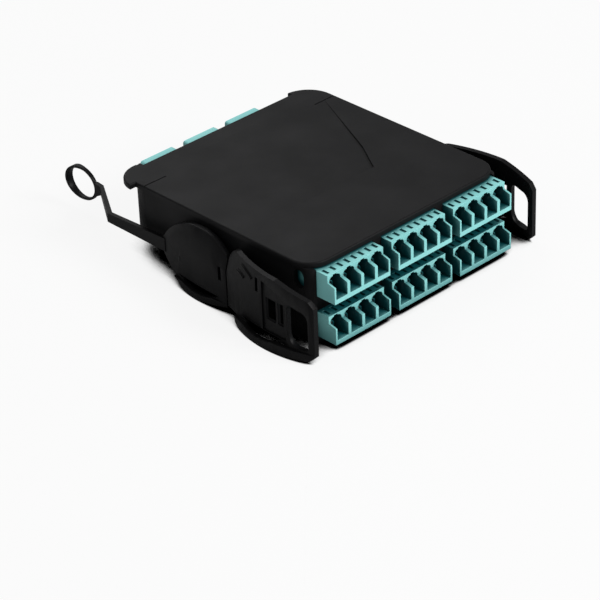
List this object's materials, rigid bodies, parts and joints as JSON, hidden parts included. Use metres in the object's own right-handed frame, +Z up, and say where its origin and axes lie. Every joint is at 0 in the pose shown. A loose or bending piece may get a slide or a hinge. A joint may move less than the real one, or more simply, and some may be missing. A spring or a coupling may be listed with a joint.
{
  "type": "fibre cassette",
  "caption": "Flat fibre cassette with two rows of quad LC adapters in front, MPO adapters behind, sprung side levers and a pull tail with a finger ring.",
  "frame": {"origin": "on the underside, half way across and half way along the box without its adapters", "axes": "+X to the right seen from the LC side, +Y toward the MPO side, +Z up"},
  "size_m": [0.1128, 0.1395, 0.0292],
  "materials": {
    "black_moulding": "fine moulded texture",
    "black_lever_moulding": "satin",
    "aqua_moulding": "satin",
    "plug_moulding": "satin",
    "fibre_jacket": "smooth",
    "steel_fastener": "plated"
  },
  "bodies": {
    "box": {"base_tray": "black_moulding", "top_cover": "black_moulding", "adapter_shelf": "black_moulding", "cover_screws": "steel_fastener", "lc_adapter_lower_left": "aqua_moulding", "inner_lc_plugs_lower_left": "plug_moulding", "lc_adapter_lower_centre": "aqua_moulding", "inner_lc_plugs_lower_centre": "plug_moulding", "lc_adapter_lower_right": "aqua_moulding", "inner_lc_plugs_lower_right": "plug_moulding", "lc_adapter_upper_left": "aqua_moulding", "inner_lc_plugs_upper_left": "plug_moulding", "lc_adapter_upper_centre": "aqua_moulding", "inner_lc_plugs_upper_centre": "plug_moulding", "lc_adapter_upper_right": "aqua_moulding", "inner_lc_plugs_upper_right": "plug_moulding", "mpo_adapter_left": "aqua_moulding", "inner_mpo_plug_left": "plug_moulding", "fibre_harness_left": "fibre_jacket", "mpo_adapter_centre": "aqua_moulding", "inner_mpo_plug_centre": "plug_moulding", "fibre_harness_centre": "fibre_jacket", "mpo_adapter_right": "aqua_moulding", "inner_mpo_plug_right": "plug_moulding", "fibre_harness_right": "fibre_jacket", "left_pivot_pin": "steel_fastener", "right_pivot_pin": "steel_fastener"},
    "left_lever": {"left_front_lever": "black_lever_moulding"},
    "right_lever": {"right_front_lever": "black_lever_moulding"},
    "left_latch": {"left_rear_latch": "black_lever_moulding"},
    "right_latch": {"right_rear_latch": "black_lever_moulding"}
  },
  "joints": [
    {"name": "left_lever_squeeze", "type": "hinge", "parent": "box", "child": "left_lever", "pos_m": [-0.0462, -0.0178, 0.01085], "axis": [0, 0, 1], "range_deg": [0, 6], "stiffness_Nm_per_rad": 0.6, "springref_deg": -2.86},
    {"name": "right_lever_squeeze", "type": "hinge", "parent": "box", "child": "right_lever", "pos_m": [0.0462, -0.0178, 0.01085], "axis": [0, 0, -1], "range_deg": [0, 6], "stiffness_Nm_per_rad": 0.6, "springref_deg": -2.86},
    {"name": "left_latch_pull", "type": "slide", "parent": "box", "child": "left_latch", "axis": [0, 1, 0], "range_m": [0, 0.003], "stiffness_N_per_m": 600, "springref_m": -0.001},
    {"name": "right_latch_pull", "type": "slide", "parent": "box", "child": "right_latch", "axis": [0, 1, 0], "range_m": [0, 0.003], "stiffness_N_per_m": 600, "springref_m": -0.001}
  ]
}
